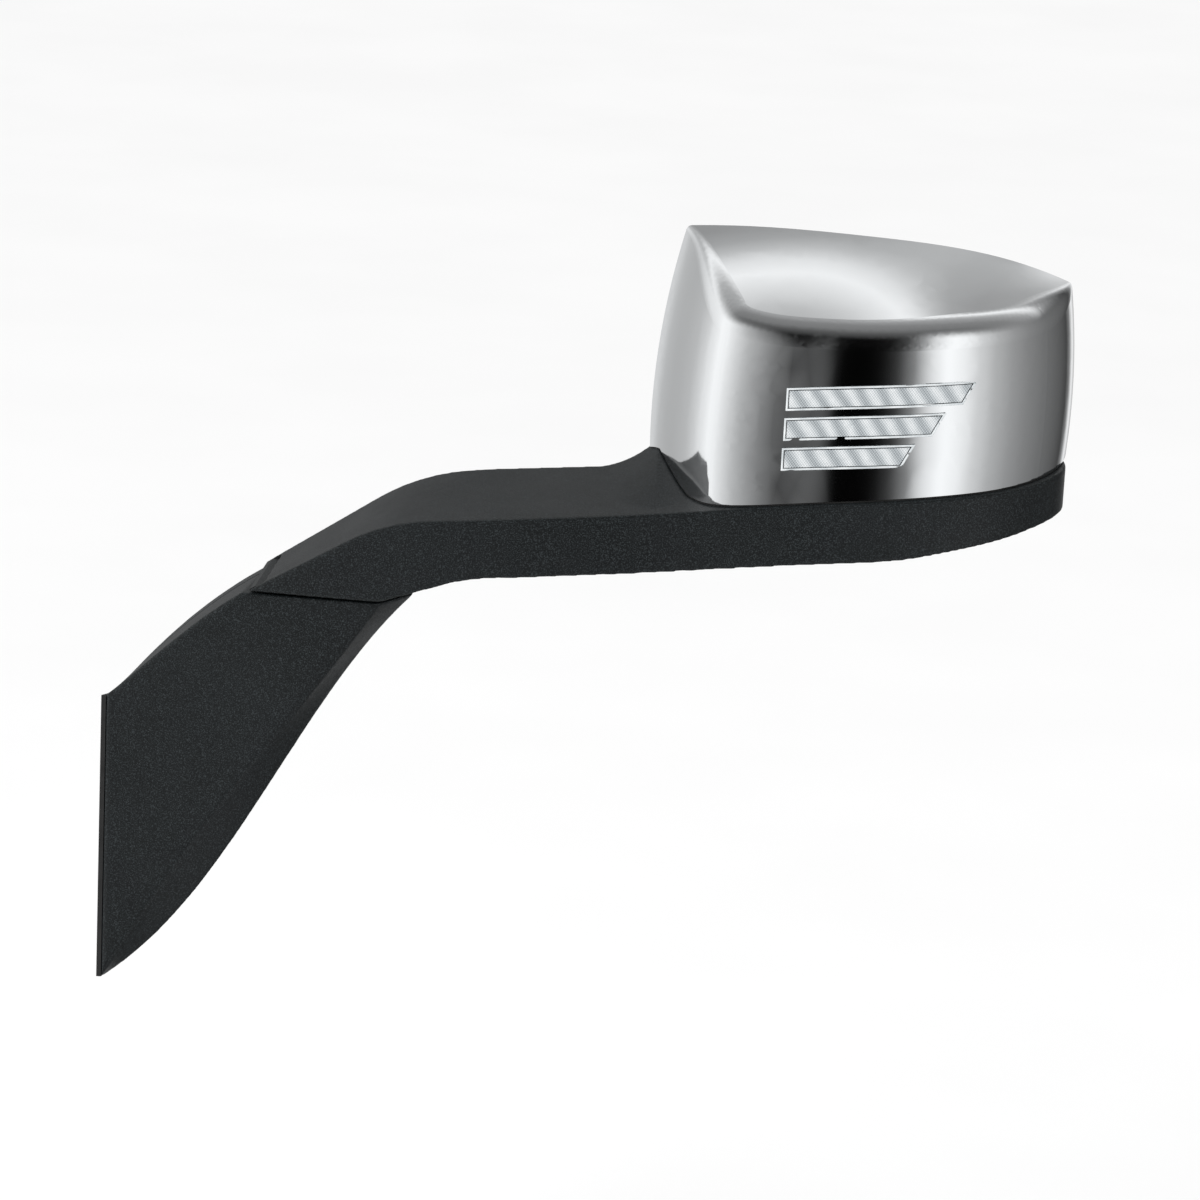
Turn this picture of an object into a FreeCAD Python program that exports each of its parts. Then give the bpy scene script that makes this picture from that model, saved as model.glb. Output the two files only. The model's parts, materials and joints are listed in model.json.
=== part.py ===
"""Hood mirror of a heavy truck, left-hand side.

A cast base bracket under two black covers bolts to the hood. On top of it a breakaway pivot carries the
arm: a cast beam inside grained covers that widen into a tray. The chromed cap stands on the tray, with three
light bars in its front and an adjustable convex mirror in its rear opening.

Millimetres. The origin is the centre of the bolt pattern on the face that lies on the hood. +X points
outboard along the arm, -Y to the front of the truck and +Z up.
"""
import FreeCAD, Part
import math
import os
import Sketcher
from FreeCAD import Placement, Rotation, Vector

doc = FreeCAD.newDocument("hood_mirror")

# --------------------------------------------------------------------------------------------------
# Driving dimensions
# --------------------------------------------------------------------------------------------------
SIZES = [
    # base
    ("foot_top", 93, "foot on the hood: front upper corner above the origin"),
    ("foot_bottom", 103, "foot on the hood: lowest corner below the origin"),
    ("foot_front", 20.5, "foot: front face ahead of the origin"),
    ("foot_rear", 30, "foot: rear face behind the origin"),
    ("gasket_thick", 3, "gasket between foot and hood"),
    ("bolt_span_y", 18, "hood bolts: spacing across"),
    ("bolt_span_z", 110, "hood bolts: spacing along the foot"),
    ("thread_r", 3.4, "hood bolts: core radius of the M8 thread in the inserts"),
    ("insert_r", 6, "threaded inserts: outer radius"),
    ("insert_long", 14, "threaded inserts: length from the gasket's face"),
    ("flange_thick", 8, "base bracket: thickness of the flange"),
    ("web_thick", 16, "base bracket: thickness of the web"),
    ("grommet_r", 9, "cable hole in the flange"),
    # fold pivot
    ("pivot_x", 134, "fold axis, out from the hood"),
    ("seam_z", 170, "seam between base and arm, above the origin"),
    ("seam_gap", 1.2, "gap between the base covers and the arm covers"),
    ("boss_r", 28, "base bracket: pivot boss"),
    ("boss_tall", 19, "base bracket: height of the pivot boss"),
    ("bolt_r", 6, "pivot bolt: radius of the M12 shank"),
    ("fit", 0.05, "running clearance on a radius"),
    ("bush_wall", 2.5, "wall of the pivot bush"),
    ("clutch_r", 22, "friction rings: outer radius"),
    ("clutch_tall", 4, "friction rings: thickness of one ring"),
    ("core_flange_r", 24, "arm core: radius of its pivot flange"),
    ("core_flange_tall", 8, "arm core: thickness of its pivot flange"),
    ("spring_r", 10.5, "breakaway spring: mean radius"),
    ("spring_wire", 4, "breakaway spring: wire diameter"),
    ("spring_tall", 16, "breakaway spring: fitted length"),
    ("washer_thick", 1.5, "thrust washer"),
    ("seat_thick", 3, "spring seat"),
    ("nut_tall", 6.5, "pivot nut"),
    ("head_tall", 5.5, "pivot bolt: height of the head"),
    # arm
    ("seam_left", 89, "seam: inboard end, out from the hood"),
    ("seam_front", 36, "seam: front edge ahead of the fold axis, at its inboard end"),
    ("arm_front", 53, "arm: front face ahead of the fold axis"),
    ("arm_rear", 56, "arm: rear face behind the fold axis"),
    ("elbow_x", 177, "elbow: corner of the top face, out from the hood"),
    ("elbow_z", 222.7, "elbow: corner of the top face, above the origin"),
    ("arm_tall", 38, "arm: height of the front face"),
    ("arm_slope", 0.0895, "arm: rise per length towards the outboard end"),
    ("beam_wide", 28, "arm core: width of the beam"),
    ("beam_tall", 18, "arm core: height of the beam"),
    ("cover_wall", 3, "wall of the black covers"),
    ("cover_gap", 0.3, "gap where two covers meet"),
    # head
    ("head_x", 343.5, "head: inboard end, out from the hood"),
    ("head_wide", 267, "head: width at the bottom of the cap"),
    ("head_deep", 93.5, "head: front of the cap to the rear opening"),
    ("rim_y", 50, "head: plane of the rear opening behind the fold axis"),
    ("rim_z", 403, "head: highest corner of the rear opening"),
    ("rim_drop", 26, "head: fall of the rim towards the outboard end"),
    ("brow_drop", 45, "head: fall of the top face from the rim to the front"),
    ("crown", 4, "head: rise of the top face between its front and rear edges"),
    ("brow_r", 20, "head: radius between top face and front"),
    ("rim_r", 4, "head: the same radius at the rear opening"),
    ("cap_wall", 2.8, "wall of the chromed cap"),
    ("cap_gap", 1.2, "gap between cap and tray"),
    ("ledge", 4.5, "tray: ledge in front of the cap"),
    ("saddle_tall", 17, "tray: rise against the inboard side of the cap, at the rear"),
    # light bars
    ("bar_x", 427.5, "light bars: inboard end, out from the hood"),
    ("bar_top", 319.8, "light bars: top edge of the upper bar"),
    ("bar_tall", 10.8, "light bars: height of a bar"),
    ("bar_pitch", 19.3, "light bars: spacing"),
    ("bar_long", 113.5, "light bars: length of the upper bar"),
    ("bar_step", 17.7, "light bars: how much shorter each lower bar is"),
    ("bar_slope", 0.073, "light bars: rise per length"),
    ("lamp_deep", 16, "lamp housing: depth behind the cap"),
    # mirror glass
    ("glass_inset", 22, "glass: margin inside the rim of the head"),
    ("glass_radius", 600, "glass: radius of its convex face"),
    ("glass_thick", 2.2, "glass: thickness"),
    ("glass_apex", 46.5, "glass: middle of its face behind the fold axis"),
    ("heater_thick", 0.8, "heater pad"),
    ("holder_thick", 3.2, "glass holder"),
    ("cross_y", 20, "glass pivot, behind the fold axis"),
    ("cross_pin_r", 3, "glass pivot: pin radius"),
    ("bezel_wide", 15, "rear bezel: width of its ring"),
    ("bezel_thick", 7, "rear bezel: depth of its ring"),
]

sheet = doc.addObject("Spreadsheet::Sheet", "sizes")
for row, (alias, value, note) in enumerate(SIZES, start=1):
    sheet.set(f"A{row}", alias)
    sheet.set(f"B{row}", str(value))
    sheet.setAlias(f"B{row}", alias)
    sheet.set(f"C{row}", note)
doc.recompute()


def size(alias):
    """Value of one named dimension."""
    return float(sheet.get(alias))


# --------------------------------------------------------------------------------------------------
# Document objects bound to the sheet
# --------------------------------------------------------------------------------------------------
ALONG = {
    "x": Rotation(Vector(0, 1, 0), 90),
    "-x": Rotation(Vector(0, 1, 0), -90),
    "y": Rotation(Vector(1, 0, 0), -90),
    "-y": Rotation(Vector(1, 0, 0), 90),
    "z": Rotation(),
    "-z": Rotation(Vector(1, 0, 0), 180),
}
nodes = {}


def expression(text):
    """Point the words of a formula at the sheet."""
    words = sorted({alias for alias, _, _ in SIZES}, key=len, reverse=True)
    out = ""
    position = 0
    while position < len(text):
        match = next((w for w in words if text.startswith(w, position)), None)
        before = text[position - 1] if position else " "
        if match and not (before.isalnum() or before in "_."):
            out += "sizes." + match
            position += len(match)
        else:
            out += text[position]
            position += 1
    return out


def place(item, at, along="z"):
    """Put an object at a point given by three formulas, with its own Z axis along a direction."""
    item.Placement = Placement(Vector(), ALONG[along])
    for axis, formula in zip("xyz", at):
        item.setExpression(f"Placement.Base.{axis}", expression(formula))
    return item


def primitive(kind, name, at, along="z", **sizes):
    """A Part primitive whose properties are formulas of the sheet."""
    item = doc.addObject(f"Part::{kind}", name)
    for prop, formula in sizes.items():
        item.setExpression(prop, expression(str(formula)))
    return place(item, at, along)


def cylinder(name, radius, height, at, along="z"):
    return primitive("Cylinder", name, at, along, Radius=radius, Height=height)


def box(name, length, width, height, at):
    return primitive("Box", name, at, "z", Length=length, Width=width, Height=height)


def hexagon(name, radius, height, at, along="z"):
    """A hexagonal prism; radius is to its corners."""
    item = primitive("Prism", name, at, along, Circumradius=radius, Height=height)
    item.Polygon = 6
    return item


def fuse(name, items):
    item = doc.addObject("Part::MultiFuse", name)
    item.Shapes = items
    return item


def cut(name, base, tool):
    item = doc.addObject("Part::Cut", name)
    item.Base = base
    item.Tool = tool
    return item


def solid(name, shape):
    """A shape that only code can describe, as a document object."""
    item = doc.addObject("Part::Feature", name)
    item.Shape = shape
    item.Placement = Placement()
    return item


def keep(label, item):
    """Name a finished sub-part."""
    item.Label = label
    nodes[label] = item
    return item


def sketch_polygon(body, name, plane, corners):
    """A closed polygon on an origin plane of the body; each corner is a pair of formulas."""
    sketch = body.newObject("Sketcher::SketchObject", name)
    role = {"XY": "XY_Plane", "XZ": "XZ_Plane", "YZ": "YZ_Plane"}[plane]
    support = next(f for f in body.Origin.OriginFeatures if f.Role == role)
    sketch.AttachmentSupport = [(support, "")]
    sketch.MapMode = "FlatFace"
    points = [Vector(evaluate(u), evaluate(v), 0) for u, v in corners]
    count = len(points)
    for i in range(count):
        sketch.addGeometry(Part.LineSegment(points[i], points[(i + 1) % count]), False)
    for i in range(count):
        sketch.addConstraint(Sketcher.Constraint("Coincident", i, 2, (i + 1) % count, 1))
    for i, (u, v) in enumerate(corners):
        for kind, formula, value in (("DistanceX", u, points[i].x), ("DistanceY", v, points[i].y)):
            index = sketch.addConstraint(Sketcher.Constraint(kind, -1, 1, i, 1, value))
            sketch.setExpression(f"Constraints[{index}]", expression(formula))
    return sketch


def evaluate(formula):
    """Number that a formula of the sheet has now."""
    probe = doc.addObject("Part::Vertex", "probe")
    probe.setExpression("X", expression(formula))
    probe.recompute()
    value = float(probe.X)
    doc.removeObject(probe.Name)
    return value


def turned(name, profile, at, along="z"):
    """A PartDesign body of revolution; the profile's corners are (radius, height) formulas."""
    body = doc.addObject("PartDesign::Body", name)
    sketch = sketch_polygon(body, name + "_profile", "XZ", profile)
    turn = body.newObject("PartDesign::Revolution", name + "_turn")
    turn.Profile = sketch
    turn.ReferenceAxis = (sketch, ["V_Axis"])
    turn.Angle = 360
    return place(body, at, along)


def ring(name, inner, outer, height, at, along="z"):
    """A plain ring as a turned body."""
    profile = [(inner, "0"), (outer, "0"), (outer, height), (inner, height)]
    return turned(name, profile, at, along)



# --------------------------------------------------------------------------------------------------
# Outlines and sculpted solids
# --------------------------------------------------------------------------------------------------
def inset_polygon(points, gap):
    """A closed polygon of (u, v) points moved inwards by a gap."""
    area = sum(a[0] * b[1] - b[0] * a[1] for a, b in zip(points, points[1:] + points[:1]))
    side = gap if area > 0 else -gap
    lines = []
    for (au, av), (bu, bv) in zip(points, points[1:] + points[:1]):
        length = math.hypot(bu - au, bv - av)
        nu, nv = -(bv - av) / length, (bu - au) / length
        lines.append((au + nu * side, av + nv * side, (bu - au) / length, (bv - av) / length))
    moved = []
    for (au, av, du, dv), (bu, bv, eu, ev) in zip(lines[-1:] + lines[:-1], lines):
        along = ((bu - au) * ev - (bv - av) * eu) / (du * ev - dv * eu)
        moved.append((au + du * along, av + dv * along))
    return moved


def spline(points):
    """A smooth curve through points."""
    curve = Part.BSplineCurve()
    curve.interpolate(points)
    return curve


def shifted(points, gap):
    """Plan points moved sideways by a gap, to the left of the curve through them."""
    curve = spline([Vector(x, y, 0) for x, y in points])
    moved = []
    for x, y in points:
        at = curve.parameter(Vector(x, y, 0))
        ahead = curve.tangent(at)[0]
        moved.append((x - ahead.y * gap, y + ahead.x * gap))
    return moved


def prism(points, plane, start, end):
    """A polygon of (u, v) points on XY, XZ or YZ, extruded between two positions on the third axis."""
    make = {
        "XY": lambda u, v: Vector(u, v, start),
        "XZ": lambda u, v: Vector(u, start, v),
        "YZ": lambda u, v: Vector(start, u, v),
    }[plane]
    ahead = {"XY": Vector(0, 0, 1), "XZ": Vector(0, 1, 0), "YZ": Vector(1, 0, 0)}[plane]
    corners = [make(u, v) for u, v in points]
    wire = Part.makePolygon(corners + corners[:1])
    return Part.Face(wire).extrude(ahead * (end - start))


def rod(radius, start, end):
    """A round bar between two points."""
    return Part.makeCylinder(radius, (end - start).Length, start, end - start)


def block(low, high):
    return Part.makeBox(high[0] - low[0], high[1] - low[1], high[2] - low[2], Vector(*low))


# --- base --------------------------------------------------------------------------------------------
pivot_x = size("pivot_x")
seam_z = size("seam_z")
seam_left = size("seam_left")
seam_front = size("seam_front")
wall = size("cover_wall")
gasket = size("gasket_thick")
base_top = seam_z - size("seam_gap") / 2
arm_bottom = seam_z + size("seam_gap") / 2
FAR = 1000


def foot_outline():
    """Outline of the foot on the hood, as (y, z), from the front upper corner round by the bottom."""
    top, bottom = size("foot_top"), size("foot_bottom")
    front, rear = size("foot_front"), size("foot_rear")
    return [
        (-front, top),
        (-front, 3 - bottom),
        (-front / 2, -bottom),
        (rear - 4, 14 - bottom),
        (rear, top - 14),
    ]


def seam_outline():
    """Top of the base covers, as (x, y), with its corners in the order of the foot's."""
    right = pivot_x + 64
    return [
        (seam_left, -seam_front),
        (right - 21, -seam_front - 9),
        (right, -18),
        (right - 9, seam_front + 2),
        (seam_left + 13, seam_front),
    ]


def ankle_outline():
    """Section near the foot, as (y, down): on a plane that leans 8 degrees from the hood."""
    front, rear = size("foot_front"), size("foot_rear")
    return [(-front - 1, 0), (-front - 2, 151), (-front / 2, 176), (rear - 3, 164), (rear, 10)]


def waist_outline():
    """Section halfway, as (y, down): on a plane that leans 45 degrees, down from its upper corner."""
    front = (size("foot_front") + seam_front) / 2
    return [
        (-front, 0),
        (-front - 4, 90),
        (-front / 2, 107),
        (front + 3, 99),
        (front + 5, 5),
    ]


def base_solid(inset, foot_x):
    """Solid inside the base's outline, drawn in by an inset, from the foot to the seam."""
    top, middle_x = size("foot_top"), (gasket + seam_left) / 2
    foot = [Vector(foot_x, y, z) for y, z in inset_polygon(foot_outline(), inset)]
    seam = [Vector(x, y, base_top) for x, y in inset_polygon(seam_outline(), inset)]
    leaning = []
    for outline, lean, start in (
        (ankle_outline(), 8, (gasket + 6, top + 5)),
        (waist_outline(), 45, (middle_x, (top + base_top) / 2 + 2.5)),
    ):
        out, down_z = math.sin(math.radians(lean)), math.cos(math.radians(lean))
        leaning.append([
            Vector(start[0] + down * out, y, start[1] - down * down_z)
            for y, down in inset_polygon(outline, inset)
        ])
    wires = [Part.makePolygon(corners + corners[:1]) for corners in (foot, *leaning, seam)]
    return Part.makeLoft(wires, True, False)


# --- arm ---------------------------------------------------------------------------------------------
arm_slope = size("arm_slope")
arm_front = size("arm_front")
arm_rear = size("arm_rear")
head_x = size("head_x")
head_wide = size("head_wide")
head_deep = size("head_deep")
rim_y = size("rim_y")

# Plan of the head from its inboard rear corner round the front, as shares of its width and depth.
CAP_PLAN = [
    (0, 0), (0.049, 0.374), (0.0995, 0.77), (0.14, 0.93), (0.212, 0.995), (0.362, 1.0),
    (0.58, 0.989), (0.704, 0.941), (0.82, 0.834), (0.918, 0.6), (0.974, 0.32), (1, 0),
]


def cap_plan(inset=0, left=0, right=0):
    """Plan of the cap as (x, y): drawn in by an inset, and with its two ends moved."""
    start = head_x + left
    wide = head_wide - left + right
    points = [(start + a * wide, rim_y - b * head_deep) for a, b in CAP_PLAN]
    return shifted(points, inset) if inset else points


def tray_front(inset):
    """Front edge of arm and tray in plan, from the seam to the outboard tip, as (x, y)."""
    arm = [
        (seam_left, -seam_front),
        (pivot_x + 12, -seam_front - 9),
        (pivot_x + 62, 3 - arm_front),
        (pivot_x + 122, -arm_front),
        (head_x - 20, -arm_front - 0.5),
    ]
    tray = [p for p in cap_plan(-size("ledge"))[:-1] if p[0] > head_x + 0.3 * head_wide]
    tip = (tray[-1][0] + 0.3, rim_y - 4)
    points = arm + tray + [tip]
    if inset:
        points = shifted(points, inset)
        points[0] = (seam_left + inset, points[0][1])
        points[-1] = (points[-1][0], rim_y - 4 - inset)
    return points


def arm_plan(inset, low, high):
    """Block of the arm's plan outline between two heights."""
    front = tray_front(inset)
    rear = [
        (head_x + 0.55 * head_wide, arm_rear),
        (pivot_x + 112, arm_rear),
        (pivot_x + 52, seam_front + 14),
        (seam_left, seam_front - 2),
    ]
    rear = [(x, y - inset) for x, y in rear]
    rear[-1] = (seam_left + inset, rear[-1][1])
    curve = spline([Vector(x, y, low) for x, y in front]).toShape()
    corners = [Vector(*front[-1], low)] + [Vector(x, y, low) for x, y in rear] + [Vector(*front[0], low)]
    wire = Part.Wire([curve] + [Part.LineSegment(a, b).toShape() for a, b in zip(corners, corners[1:])])
    return Part.Face(wire).extrude(Vector(0, 0, high - low))


def bent_path(points, radii, y):
    """Straight runs with a tangent arc at each inner corner, as edges at one y; points are (x, z)."""
    corners = [Vector(x, y, z) for x, z in points]
    edges = []
    start = corners[0]
    for before, corner, after, radius in zip(corners, corners[1:], corners[2:], radii):
        back, ahead = (before - corner).normalize(), (after - corner).normalize()
        half = back.getAngle(ahead) / 2
        first = corner + back * (radius / math.tan(half))
        last = corner + ahead * (radius / math.tan(half))
        middle = corner + (back + ahead).normalize() * (radius / math.sin(half) - radius)
        edges.append(Part.LineSegment(start, first).toShape())
        edges.append(Part.Arc(first, middle, last).toShape())
        start = last
    edges.append(Part.LineSegment(start, corners[-1]).toShape())
    return edges


def side_profile(y, corner, ramp, slope, tall, inset):
    """Side view of the arm at one y, as a wire: ramp, elbow and long run, above and below."""
    far_x = head_x + head_wide + 60
    tail_x = head_x + 0.6 * head_wide
    low_ramp, tail_slope = 0.348, slope + 0.12
    top_x, top_z = corner[0], corner[1] - inset
    low_x = top_x + size("arm_tall") * 1.37
    low_z = corner[1] + slope * (low_x - top_x) - tall + inset
    floor = arm_bottom + inset
    tail_z = low_z + slope * (tail_x - low_x)
    upper = [
        (top_x - (top_z - floor - 1) / ramp, floor + 1),
        (top_x, top_z),
        (far_x, top_z + slope * (far_x - top_x)),
    ]
    lower = [
        (low_x - (low_z - floor) / low_ramp, floor),
        (low_x, low_z),
        (tail_x, tail_z),
        (far_x, tail_z + tail_slope * (far_x - tail_x)),
    ]
    edges = bent_path(upper, (130,), y) + bent_path(lower, (110, 260), y)
    closing = [upper[-1], lower[-1]], [lower[0], (upper[0][0], floor)], [(upper[0][0], floor), upper[0]]
    for (ax, az), (bx, bz) in closing:
        edges.append(Part.LineSegment(Vector(ax, y, az), Vector(bx, y, bz)).toShape())
    return Part.Wire(Part.__sortEdges__(edges))


# The rear edge of the arm lies further out and higher at the elbow, and rises less after it.
REAR_ELBOW = (21.5, 9.4)
REAR_FLATTER = 0.0125


def rear_top(x):
    """Height of the arm's top face along its rear edge, outboard of the elbow."""
    run = x - size("elbow_x") - REAR_ELBOW[0]
    return size("elbow_z") + REAR_ELBOW[1] + (arm_slope - REAR_FLATTER) * run


def saddle(lift=0):
    """Rise of the tray's top face against the inboard side of the cap, higher towards the rear."""
    wires = []
    for y, tall in ((-0.45 * head_deep, 0.6), (arm_rear, size("saddle_tall"))):
        start, stop = head_x - 50, head_x + 46
        foot_z, low = rear_top(start) + lift, rear_top(start) - 12
        if y < 0:
            foot_z -= 7
            low -= 7
        top_z = foot_z + 66 * arm_slope + tall
        curve = Part.Arc(
            Vector(start, y, foot_z),
            Vector(start + 0.6 * (head_x + 6 - start), y, foot_z + 3.2 + 0.16 * tall),
            Vector(head_x + 6, y, top_z),
        ).toShape()
        corners = [(head_x + 6, top_z), (stop, foot_z + 4), (stop, low), (start, low), (start, foot_z)]
        corners = [Vector(x, y, z) for x, z in corners]
        lines = [Part.LineSegment(a, b).toShape() for a, b in zip(corners, corners[1:])]
        wires.append(Part.Wire([curve] + lines))
    return Part.makeLoft(wires, True, True).common(arm_plan(0, 0, 400))


def arm_sides(inset, lift=0):
    """Solid between the arm's top and bottom faces; lift raises the top for what stands on it."""
    top_x, top_z, tall = size("elbow_x"), size("elbow_z") + lift, size("arm_tall") + lift
    rear_slope = arm_slope - REAR_FLATTER
    front = side_profile(-arm_front - 6, (top_x, top_z), 0.6, arm_slope, tall, inset)
    rear_corner = (top_x + REAR_ELBOW[0], top_z + REAR_ELBOW[1])
    rear = side_profile(arm_rear + 4, rear_corner, 0.63, rear_slope, tall + 5, inset)
    return Part.makeLoft([front, rear], True, True)


def arm_block(inset, lift=0):
    """Solid inside the arm's outline, drawn in by an inset."""
    return arm_sides(inset, lift).common(arm_plan(inset, 0, 400))


# --- cap ---------------------------------------------------------------------------------------------
# Heights at which the plan of the cap is given, with the shift of its two ends there.
CAP_LEVELS = [(240, 0.5, -2), (310, 1, 2.1), (405, 17.3, -9)]
# The plan curve is one spline, cut at these points into its inboard side, front and outboard side.
CAP_CUTS = (3, 9)


def cap_top(inset):
    """Solid under the sloping top face of the cap."""
    high, drop = size("rim_z") - inset, size("rim_drop")
    brow = high - size("brow_drop")
    left, right = head_x - 20, head_x + head_wide + 20
    rear = [
        (left, high - 4),
        (head_x + 0.21 * head_wide, high + 0.8),
        (head_x + 0.5 * head_wide, high - 0.08 * drop),
        (head_x + 0.81 * head_wide, high - 0.44 * drop),
        (head_x + 0.986 * head_wide, high - drop),
        (right, high - 1.45 * drop),
    ]
    front = [
        (left, brow + 10),
        (head_x + 0.19 * head_wide, brow + 2),
        (head_x + 0.42 * head_wide, brow - 2),
        (head_x + 0.62 * head_wide, brow + 2),
        (head_x + 0.82 * head_wide, brow + 9),
        (right, brow + 20),
    ]
    crown = [
        (x, 0.5 * (z + rear_z) + size("crown")) for (x, z), (_, rear_z) in zip(front, rear)
    ]
    front_y = rim_y - head_deep - 4
    wires = []
    for points, y in ((front, front_y), (crown, 0.5 * (front_y + rim_y)), (rear, rim_y)):
        curve = spline([Vector(x, y, z) for x, z in points]).toShape()
        corners = [Vector(right, y, points[-1][1]), Vector(right, y, 150)]
        corners += [Vector(left, y, 150), Vector(left, y, points[0][1])]
        lines = [Part.LineSegment(a, b).toShape() for a, b in zip(corners, corners[1:])]
        wires.append(Part.Wire([curve] + lines))
    return Part.makeLoft(wires, True, False)


def cap_solid(inset, name):
    """Solid inside the cap's outer face, drawn in by an inset; its brow is sharper at the rear opening."""
    wires = []
    for height, left, right in CAP_LEVELS:
        plan = [Vector(x, y, height) for x, y in cap_plan(inset, left, right)]
        plan[0].y = rim_y
        plan[-1].y = rim_y
        curve = spline(plan)
        cuts = [curve.parameter(plan[i]) for i in CAP_CUTS]
        knots = [curve.FirstParameter] + cuts + [curve.LastParameter]
        pieces = [curve.toShape(a, b) for a, b in zip(knots, knots[1:])]
        wires.append(Part.Wire(pieces + [Part.LineSegment(plan[-1], plan[0]).toShape()]))
    sides = Part.makeLoft(wires, True, False)
    body = solid(name + "_sharp", sides.common(cap_top(inset)))
    wide, narrow = size("brow_r") - inset, max(size("rim_r") - inset, 0.6)
    radii = []
    for number, edge in enumerate(body.Shape.Edges, start=1):
        ends = [v.Point for v in edge.Vertexes]
        middle = edge.valueAt((edge.FirstParameter + edge.LastParameter) / 2)
        if min(p.z for p in ends) < 330 or middle.y > rim_y - 1:
            continue
        first = edge.valueAt(edge.FirstParameter)
        last = edge.valueAt(edge.LastParameter)
        radii.append((number, *(narrow if p.y > rim_y - 1 else wide for p in (first, last))))
    rounded = doc.addObject("Part::Fillet", name)
    rounded.Base = body
    rounded.Edges = radii
    doc.recompute()
    return rounded.Shape


# --------------------------------------------------------------------------------------------------
# Base
# --------------------------------------------------------------------------------------------------
bolt_r = size("bolt_r")
fit = size("fit")
boss_top = seam_z - 10
boss_bottom = boss_top - size("boss_tall")
flange = gasket + size("flange_thick")
web = size("web_thick")
hole_clearance = 0.3


def bolt_places():
    """Centres of the four hood bolts, as (y, z)."""
    across, along = size("bolt_span_y") / 2, size("bolt_span_z") / 2
    return [(y, z) for z in (-along, along) for y in (-across, across)]


GROMMET_Z = -34
foot_plate = prism(inset_polygon(foot_outline(), 0.5), "YZ", 0, gasket)
for y, z in bolt_places():
    foot_plate = foot_plate.cut(rod(size("insert_r"), Vector(0, y, z), Vector(gasket, y, z)))
cable_hole = rod(size("grommet_r"), Vector(0, 0, GROMMET_Z), Vector(flange, 0, GROMMET_Z))
keep("base_gasket", solid("base_gasket", foot_plate.cut(cable_hole)))

base_outer = base_solid(0, gasket)
base_inner = base_solid(wall, gasket)
under_lid = block((-FAR, -FAR, -FAR), (FAR, FAR, base_top - wall))
base_inner = base_inner.common(under_lid)
pivot_hole = rod(size("boss_r") + 1, Vector(pivot_x, 0, boss_top), Vector(pivot_x, 0, seam_z))
base_shell = base_outer.cut(base_inner).cut(pivot_hole)

# The covers meet on this plane behind the origin.
SPLIT_Y = 14
SCREW_SEAT_Y = SPLIT_Y + 8
# Screws pull the rear cover onto the front one: (x, z) of each, clear of the bracket's web.
BASE_SCREWS = [(24, 80), (82, 141), (30, -62), (94, 28), (134, 90)]
SCREW_BOSS_R, SCREW_R, SCREW_HEAD_R = 5, 2, 3.8
for front in (True, False):
    sign = -1 if front else 1
    bosses = []
    holes = []
    for x, z in BASE_SCREWS:
        bosses.append(rod(SCREW_BOSS_R, Vector(x, SPLIT_Y, z), Vector(x, sign * 60, z)))
        if front:
            holes.append(rod(SCREW_R, Vector(x, SPLIT_Y, z), Vector(x, SPLIT_Y - 18, z)))
        else:
            holes.append(rod(SCREW_R + hole_clearance, Vector(x, 0, z), Vector(x, SCREW_SEAT_Y, z)))
            holes.append(rod(SCREW_HEAD_R + 0.4, Vector(x, SCREW_SEAT_Y, z), Vector(x, 60, z)))
    near, far = (-FAR, SPLIT_Y - size("cover_gap") / 2) if front else (SPLIT_Y + size("cover_gap") / 2, FAR)
    half = block((-FAR, near, -FAR), (FAR, far, FAR))
    cover = base_shell.fuse(Part.makeCompound(bosses).common(base_outer)).common(half)
    for hole in holes:
        cover = cover.cut(hole)
    label = "base_cover_front" if front else "base_cover_rear"
    keep(label, solid(label, max(cover.Solids, key=lambda item: item.Volume)))

screws = []
for number, (x, z) in enumerate(BASE_SCREWS):
    seat = (str(x), str(SCREW_SEAT_Y), str(z))
    shank = cylinder(f"base_screw_shank{number}", str(SCREW_R - 0.1), "25", seat, "-y")
    head = cylinder(f"base_screw_head{number}", str(SCREW_HEAD_R), "2.6", seat, "y")
    screws.append(fuse(f"base_screw{number}", [shank, head]))
screw_set = doc.addObject("Part::Compound", "base_cover_screws")
screw_set.Links = screws
keep("base_cover_screws", screw_set)

web_profile = [
    (flange - 1, -20), (flange - 1, 44), (pivot_x - 30, boss_top - 6), (pivot_x, boss_top),
    (pivot_x + 12, boss_bottom + 2), (pivot_x - 14, boss_bottom - 8),
]
plate = block((gasket, -16.5, -74), (flange, 20, 72))
boss = rod(size("boss_r"), Vector(pivot_x, 0, boss_bottom), Vector(pivot_x, 0, boss_top))
bracket = plate.fuse([prism(web_profile, "XZ", -web / 2, web / 2), boss])
rib_end = pivot_x - 26
rib_profile = [(flange - 1, 30), (flange - 1, 38), (rib_end, boss_top - 16), (rib_end, boss_top - 24)]
bracket = bracket.fuse(prism(rib_profile, "XZ", -15, 20))
bore = rod(bolt_r + fit + size("bush_wall"), Vector(pivot_x, 0, -FAR), Vector(pivot_x, 0, FAR))
spring_room = rod(size("spring_r") + 7, Vector(pivot_x, 0, -FAR), Vector(pivot_x, 0, boss_bottom))
bracket = bracket.cut(bore).cut(spring_room).cut(cable_hole)
for y, z in bolt_places():
    bracket = bracket.cut(rod(size("insert_r"), Vector(0, y, z), Vector(flange, y, z)))
keep("base_bracket", solid("base_bracket", bracket.removeSplitter()))

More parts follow.
